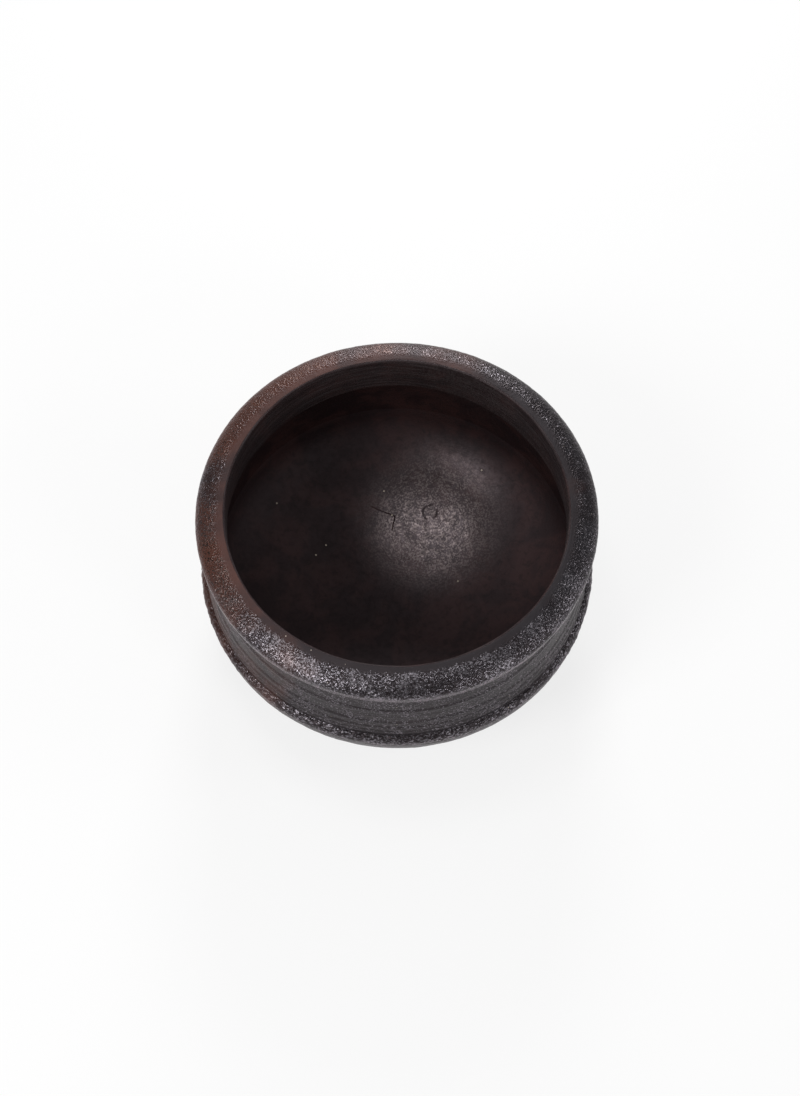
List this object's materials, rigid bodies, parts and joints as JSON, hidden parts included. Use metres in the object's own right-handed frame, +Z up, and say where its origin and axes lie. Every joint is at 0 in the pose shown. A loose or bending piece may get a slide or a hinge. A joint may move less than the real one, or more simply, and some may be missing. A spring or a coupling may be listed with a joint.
{
  "type": "clay cooking pot",
  "caption": "Round-bottomed black clay cooking pot with a heavy everted rim, a ribbed neck and a ridged shoulder, built from luted coils of clay.",
  "frame": {"origin": "centre of the flat that the pot rests on", "axes": "+Z up the pot's axis through the mouth, -Y towards the front; X and Y are alike, because the pot is round"},
  "size_m": [0.2574, 0.2574, 0.141],
  "materials": {
    "bowl_clay": "smoke-blackened earthenware, wiped smooth inside, rough outside",
    "cordon_clay": "smoke-blackened earthenware, coarse and unsmoothed",
    "neck_clay": "smoke-blackened earthenware with throwing ribs, satin",
    "rim_clay": "smoke-blackened earthenware, gritty satin"
  },
  "bodies": {
    "root": {"round_base": "bowl_clay", "lower_bowl_coil": "bowl_clay", "upper_bowl_coil": "bowl_clay", "shoulder_cordon": "cordon_clay", "lower_neck_coil": "neck_clay", "upper_neck_coil": "neck_clay", "rim_lip": "rim_clay"}
  },
  "joints": []
}
